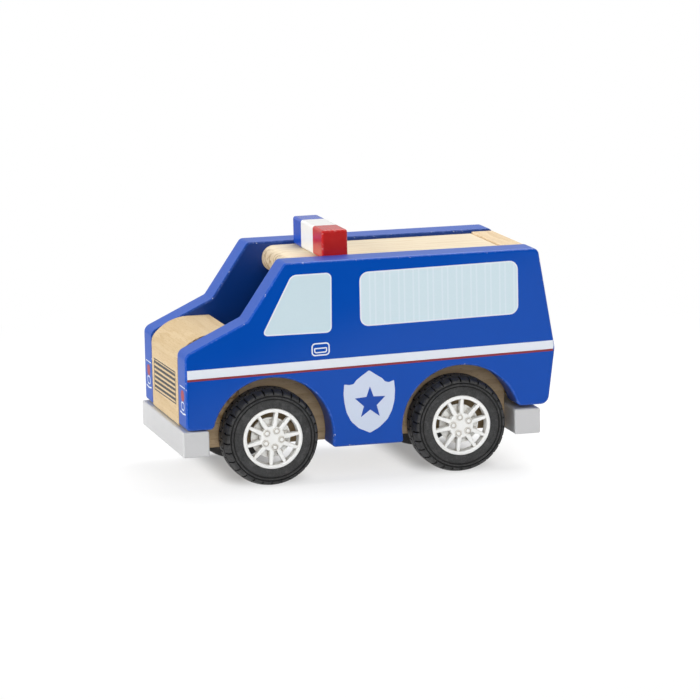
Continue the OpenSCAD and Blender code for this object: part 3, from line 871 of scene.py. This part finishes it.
PRINT_LIFT = 0.03
THICK_LINE, THIN_LINE = 0.45, 0.4


def on_side(station, height, lift):
    """A place on or over the left panel's face."""
    return (NOSE - station, PANEL_FACE + lift, height)


def on_front(across, height, lift):
    """A place on or over the plane of the panels' front edges."""
    return (FRONT_EDGE + lift, across, height)


def flat_print(name, corners, surface, lift=PRINT_LIFT):
    """A flat face through corners of (along, up, radius) on a surface of the van."""
    spots = [surface(along, up, lift) for along, up, _ in corners]
    piece = draw(name, spots)
    bpy.ops.mesh.select_all(action="SELECT")
    bpy.ops.mesh.edge_face_add()
    for size in sorted({radius for _, _, radius in corners if radius}):
        rounded = [Vector(spot) * MM for spot, corner in zip(spots, corners) if corner[2] == size]
        pick("VERT", lambda vert: any((vert.co - spot).length < NEAR * MM for spot in rounded))
        bpy.ops.mesh.bevel(offset=size * MM, segments=6, affect="VERTICES")
    return piece


def ink(piece, surface, finish, both_sides=False):
    """Gives a flat print its thickness, and copies it to the other panel where it is on both."""
    take_up(piece)
    bpy.ops.mesh.select_all(action="SELECT")
    sunk = Vector(surface(0, 0, -2 * PRINT_LIFT)) - Vector(surface(0, 0, 0))
    bpy.ops.mesh.extrude_region_move(TRANSFORM_OT_translate={"value": sunk * MM})
    close_up()
    lay_down()
    made = [piece]
    if both_sides:
        made.append(twin(piece, piece.name.replace("left", "right")))
        take_up(made[1])
        bpy.ops.mesh.select_all(action="SELECT")
        bpy.ops.transform.resize(value=(1, -1, 1), center_override=(0, 0, 0))
        close_up()
    for copy in made:
        fit(copy, finish)


def cut_out(line):
    """Leaves only a line round the flat print in hand, and gives back what was inside it as a piece."""
    piece = bpy.context.object
    before = set(bpy.data.objects)
    bpy.ops.mesh.select_mode(type="FACE")
    bpy.ops.mesh.select_all(action="SELECT")
    bpy.ops.mesh.inset(thickness=line * MM, use_boundary=True)
    pick("FACE", lambda face: not any(edge.is_boundary for edge in face.edges))
    bpy.ops.mesh.separate(type="SELECTED")
    lay_down()
    inside = next(made for made in bpy.data.objects if made not in before)
    return piece, inside


def printed(name, corners, surface, finish, both_sides=False, lift=PRINT_LIFT):
    """A print that is inked all over."""
    ink(flat_print(name, corners, surface, lift), surface, finish, both_sides)


def outlined(name, corners, surface, finish, line, both_sides=False):
    """A print of which only a line round it is inked."""
    flat_print(name, corners, surface)
    ring, inside = cut_out(line)
    bpy.data.objects.remove(inside)
    ink(ring, surface, finish, both_sides)


def window(name, corners, pane_finish):
    """A window on both panels: a white frame and the pane in it."""
    flat_print(name + "_frame", corners, on_side)
    ring, pane = cut_out(THICK_LINE)
    pane.name = pane.data.name = name + "_pane"
    ink(ring, on_side, WHITE_INK, True)
    ink(pane, on_side, pane_finish, True)


def box_corners(middle, half, low, high, radius=0, tilt=0):
    """The corners of a box round a middle, with one end lower and the other higher by a tilt."""
    return [
        (middle - half, low - tilt, radius), (middle - half, high - tilt, radius),
        (middle + half, high + tilt, radius), (middle + half, low + tilt, radius),
    ]


window(
    "left_front_window",
    [(27.6, 51.5, 2.2), (38.2, 71.5, 1.6), (52.0, 71.6, 1.9), (51.7, 51.35, 1.9)],
    PANE_INK,
)
window(
    "left_rear_window",
    [(61.6, 52.7, 3), (61.6, 71.1, 3), (117.0, 71.9, 3), (117.0, 53.6, 3)],
    LONG_PANE_INK,
)

STRIPE_FRONT = 1.95
FOOT_FRONT, FOOT_REAR = (STRIPE_FRONT, 38.5, 0), (129.25, 40.9, 0)  # where the red line meets the stripe
printed(
    "left_stripe",
    [FOOT_FRONT, (STRIPE_FRONT, 41.5, 0), (129.15, 43.8, 0), (129.4, 42.2, 0), FOOT_REAR],
    on_side,
    WHITE_INK,
    True,
)
printed(
    "left_red_line",
    [(STRIPE_FRONT, 37.75, 0), FOOT_FRONT, FOOT_REAR, (129.15, 40.15, 0)],
    on_side,
    RED_INK,
    True,
)

SHIELD = [
    (64.36, 37.72, 0.3), (61.47, 35.8, 0.3), (59.8, 34.56, 0.3), (58.91, 33.34, 0.3), (57.35, 33.11, 0.3),
    (55.63, 33.4, 0.3), (55.34, 30.28, 0.6), (55.59, 27.05, 0.6), (56.3, 23.77, 0.6), (57.87, 20.61, 0.6),
    (60.42, 18.22, 0.6), (64.29, 16.42, 0.3), (67.53, 18.06, 0.6), (70.54, 20.75, 0.6), (72.16, 23.87, 0.6),
    (73.0, 27.04, 0.6), (73.24, 30.43, 0.6), (72.95, 33.85, 0.3), (71.12, 33.2, 0.3), (69.74, 33.64, 0.3),
    (68.89, 34.71, 0.3), (66.67, 36.13, 0.3),
]
STAR = [
    (64.51, 32.21), (65.74, 28.73), (69.82, 28.62), (66.78, 25.69), (67.78, 21.87), (64.49, 24.31),
    (61.19, 21.91), (62.3, 25.57), (59.24, 28.41), (63.26, 28.73),
]
printed("left_shield", SHIELD, on_side, SHIELD_INK, True)
printed("left_star", [(x, z, 0) for x, z in STAR], on_side, STAR_INK, True, 2 * PRINT_LIFT)

outlined(
    "left_handle_plate",
    [(44.6, 43.65, 1.3), (44.6, 48.05, 1.3), (50.9, 48.2, 1.3), (50.9, 43.8, 1.3)],
    on_side,
    WHITE_INK,
    THICK_LINE,
    True,
)
outlined(
    "left_handle_grip",
    [(45.5, 44.6, 0.8), (45.5, 46.4, 0.35), (50.0, 46.55, 0.35), (50.0, 44.75, 0.8)],
    on_side,
    WHITE_INK,
    THIN_LINE,
    True,
)

GRILLE_HALF, GRILLE_TILT = 16.6, 0.3
BAR_REACH, BAR_HALF = GRILLE_HALF - 0.3, 0.45
outlined(
    "grille_frame",
    box_corners(0, GRILLE_HALF, 27.4, 38.5, tilt=GRILLE_TILT),
    on_front,
    GRILLE_INK,
    THIN_LINE,
)
for number, height in enumerate((37.25, 35.55, 33.85, 32.2, 30.55, 28.9), 1):
    printed(
        f"grille_bar_{number}",
        box_corners(0, BAR_REACH, height - BAR_HALF, height + BAR_HALF, tilt=GRILLE_TILT),
        on_front,
        GRILLE_INK,
        lift=1.2 * PRINT_LIFT,
    )

LAMP_REACH = 3.9
for side, middle in (("left", 27.0), ("right", -25.6)):
    right_end, left_end = middle - LAMP_REACH, middle + LAMP_REACH
    printed(f"{side}_lamp_brow", box_corners(middle, LAMP_REACH, 35.25, 35.55), on_front, WHITE_INK)
    printed(f"{side}_lamp_glow", box_corners(middle, 2.3, 30.5, 34.3, 1.85), on_front, LAMP_INK)
    outlined(
        f"{side}_lamp_loop", box_corners(middle, 2.35, 27.45, 30.35, 1.4), on_front, WHITE_INK, line=0.42
    )
    printed(
        f"{side}_lamp_sill",
        [
            (right_end, 26.45, 0), (right_end, 26.95, 0), (middle, 26.55, 0),
            (left_end, 26.95, 0), (left_end, 26.45, 0), (middle, 26.05, 0),
        ],
        on_front,
        WHITE_INK,
    )


# CAD nodes that show as they are

for finish, nodes in (
    (CHASSIS_WOOD, ["base_plate"]),
    (STEEL, ["base_plate_screws", "front_axle", "rear_axle"]),
    (NYLON, ["front_left_spacer", "front_right_spacer", "rear_left_spacer", "rear_right_spacer"]),
    (
        DOWEL_WOOD,
        [
            "hood_dowels", "roof_dowels", "rear_board_dowels", "chassis_dowels", "front_bumper_dowels",
            "rear_bumper_dowels", "light_bar_dowels",
        ],
    ),
):
    for node in nodes:
        kept = frame["nodes"][node]
        kept.data.materials.clear()
        kept.data.materials.append(finish)


# The studio


def ray_kinds(wire, *names):
    """The Light Path sockets of some kinds of ray."""
    path = wire.node("LightPath").socket.node
    return [Wire(wire.tree, path.outputs[f"Is {name} Ray"]) for name in names]


def grey(level):
    """A colour of one level all through, from a number or from a wire, which turns grey by itself."""
    return level if isinstance(level, Wire) else (level, level, level, 1)


def glow(wire, level):
    """Plain light of a level, which may change over a surface."""
    return wire.node("Emission", None, {"Color": grey(level), "Strength": 1})


AXLES_MIDDLE = (AXLES["front"].x + AXLES["rear"].x) / 2 / MM
AXLES_APART = (AXLES["front"].x - AXLES["rear"].x) / MM


def floor_paper():
    """White paper that keeps a soft shadow near the van, with painted shadow between the wheels, and is
    plain white further off; in reflections it is a painted glow.
    """
    finish, wire, place = new_finish("studio_paper")
    camera, glossy = ray_kinds(wire, "Camera", "Glossy")
    x, y, _ = place.split()
    far = ((x * x + y * y) ** 0.5).ease(150, 330)
    paper = wire.node("BsdfDiffuse", None, {"Color": grey(0.86)})
    tinted = wire.node("BsdfDiffuse", None, {"Color": grey(0.36)})
    # painted shadow: the paper is darker between each pair of wheels
    axle_gap = abs(abs(x - AXLES_MIDDLE) - AXLES_APART / 2)
    painted_wheel_shadow = (1 - axle_gap.ease(7, 18)) * (1 - abs(y + 8).ease(18, 40))
    shadowed = wire.node("AddShader", None, {0: tinted, 1: glow(wire, 0.7 - painted_wheel_shadow * 0.4)})
    seen = wire.node("MixShader", None, {0: far, 1: shadowed, 2: glow(wire, 1)})
    # painted reflection light: in reflections the paper is a glow, darker off towards the camera and the
    # front, lighter behind the van
    flag = (y + x * 1.35).ease(180, 285)
    behind = (0 - y).ease(30, 170) - (0 - y).ease(240, 420) * 1.3
    mirrored = glow(wire, 0.42 - flag * 0.41 + behind * 0.4)
    for_light = wire.node("MixShader", None, {0: glossy, 1: paper, 2: mirrored})
    surface = wire.node("MixShader", None, {0: camera, 1: for_light, 2: seen})
    wire.node("OutputMaterial", None, {"Surface": surface})
    return finish


def studio_air():
    """The light all round: white to the camera, and in reflections darker towards the van's left."""
    world = bpy.data.worlds.new("studio_air")
    bpy.context.scene.world = world
    world.use_nodes = True
    world.node_tree.nodes.clear()
    wire = Wire(world.node_tree)
    camera, glossy, through = ray_kinds(wire, "Camera", "Glossy", "Transmission")
    leftward = wire.node("TexCoord", out="Generated").split()[1]

    def air(level):
        return wire.node("Background", None, {"Color": grey(level), "Strength": 1})

    mirrored = air(0.03 + 0.6 * (1 - leftward.ease(-0.5, 0.35)))
    lit = wire.node("MixShader", None, {0: glossy, 1: air(0.18), 2: mirrored})
    seen = wire.sum("MAXIMUM", camera, through)
    surface = wire.node("MixShader", None, {0: seen, 1: lit, 2: air(1)})
    wire.node("OutputWorld", None, {"Surface": surface})


def softbox(name, place, aim, size, power, mirrored=True):
    """A flat lamp that the camera doesn't see, and that reflections may leave out."""
    lay_down()
    bpy.ops.object.light_add(type="AREA", location=place)
    lamp = bpy.context.object
    lamp.name = lamp.data.name = name
    lamp.data.shape = "RECTANGLE"
    lamp.data.size, lamp.data.size_y = size
    lamp.data.energy = power
    lamp.rotation_mode = "QUATERNION"
    lamp.rotation_quaternion = (Vector(aim) - Vector(place)).to_track_quat("-Z", "Y")
    lamp.visible_glossy = mirrored
    lamp.visible_camera = False


CAMERA_AIM, CAMERA_DISTANCE = Vector((0, 0, 0.042)), 1.32045


def place_camera():
    """The camera where the photo's own stood, as fitted to the corners of the van in it."""
    yaw, rise, roll = (math.radians(angle) for angle in (14.997, 9.730, -1.162))
    back = Vector((math.sin(yaw) * math.cos(rise), math.cos(yaw) * math.cos(rise), math.sin(rise)))
    level = Vector((-math.cos(yaw), math.sin(yaw), 0))
    plumb = back.cross(level)
    right = math.cos(roll) * level + math.sin(roll) * plumb
    up = math.cos(roll) * plumb - math.sin(roll) * level
    lay_down()
    bpy.ops.object.camera_add()
    camera = bpy.context.object
    camera.name = camera.data.name = "studio_camera"
    turned = Matrix((right, up, back)).transposed().to_4x4()
    camera.matrix_world = Matrix.Translation(CAMERA_AIM + CAMERA_DISTANCE * back) @ turned
    camera.data.lens, camera.data.sensor_width = 198.12, 36
    camera.data.shift_x, camera.data.shift_y = 0.00623, -0.01083
    bpy.context.scene.camera = camera


paper = start("studio_floor", "plane", size=2.6)
bpy.ops.mesh.subdivide(number_cuts=3)
lay_down()
paper.data.materials.append(floor_paper())
studio_air()
softbox("top_softbox", (-0.4, -0.3, 0.9), (0, 0, 0.03), (0.9, 0.8), 8.2)
softbox("side_fill", (0.12, 1.25, 0.55), (0, 0, 0.04), (0.9, 0.9), 9.3, False)
softbox("nose_fill", (1.25, -0.05, 0.45), (0, 0, 0.04), (0.8, 0.8), 12.2, False)
place_camera()
bpy.context.scene.view_settings.view_transform = "Standard"
